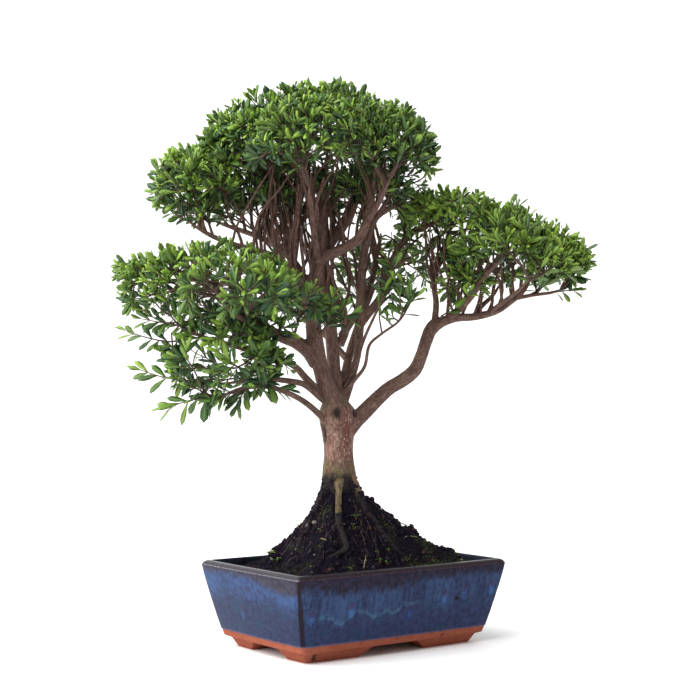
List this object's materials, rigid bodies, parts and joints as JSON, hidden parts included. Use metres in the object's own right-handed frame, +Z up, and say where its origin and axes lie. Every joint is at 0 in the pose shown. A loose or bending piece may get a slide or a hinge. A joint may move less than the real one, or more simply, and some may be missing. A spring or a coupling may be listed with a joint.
{
  "type": "myrtle bonsai",
  "caption": "Small-leaved myrtle bonsai: a many-branched trunk with leafy pads, rooted in a mound of soil in a low, glazed, rectangular stoneware pot on four corner feet.",
  "frame": {"origin": "on the surface that the pot stands on, under the middle of the whole plant's bounding box", "axes": "+Z up along the trunk; +X along the pot's long side, towards the long right-hand branch; +Y towards the back"},
  "size_m": [0.5342, 0.3062, 0.637],
  "materials": {
    "glaze": "gloss",
    "screen": "matte",
    "soil": "matte, crumbly and damp",
    "bark": "matte, flaking",
    "leaf": "satin"
  },
  "bodies": {
    "root": {"pot": "glaze", "drain_screen_left": "screen", "drain_screen_right": "screen", "soil": "soil", "trunk_and_limbs": "bark", "crown_stem_1": "leaf", "crown_stem_2": "leaf", "crown_front_stem_1": "leaf", "crown_front_stem_2": "leaf", "crown_left_stem_1": "leaf", "crown_left_stem_2": "leaf", "crown_far_left_stem_1": "leaf", "crown_far_left_stem_2": "leaf", "crown_right_stem_1": "leaf", "crown_right_stem_2": "leaf", "crown_right_stem_3": "leaf", "crown_back_stem_1": "leaf", "crown_back_stem_2": "leaf", "crown_back_stem_3": "leaf", "left_top_stem_1": "leaf", "left_top_stem_2": "leaf", "left_top_stem_3": "leaf", "left_tip_stem_1": "leaf", "left_tip_stem_2": "leaf", "left_front_stem_1": "leaf", "left_front_stem_2": "leaf", "left_low_stem_1": "leaf", "left_low_stem_2": "leaf", "left_low_stem_3": "leaf", "left_near_stem_1": "leaf", "right_top_stem_1": "leaf", "right_top_stem_2": "leaf", "right_middle_stem_1": "leaf", "right_middle_stem_2": "leaf", "right_tip_stem_1": "leaf", "right_tip_stem_3": "leaf", "right_back_stem_1": "leaf", "right_back_stem_2": "leaf", "back_stem_1": "leaf", "back_stem_2": "leaf", "back_left_stem_1": "leaf", "back_left_stem_2": "leaf", "gap_stem_1": "leaf"}
  },
  "joints": []
}
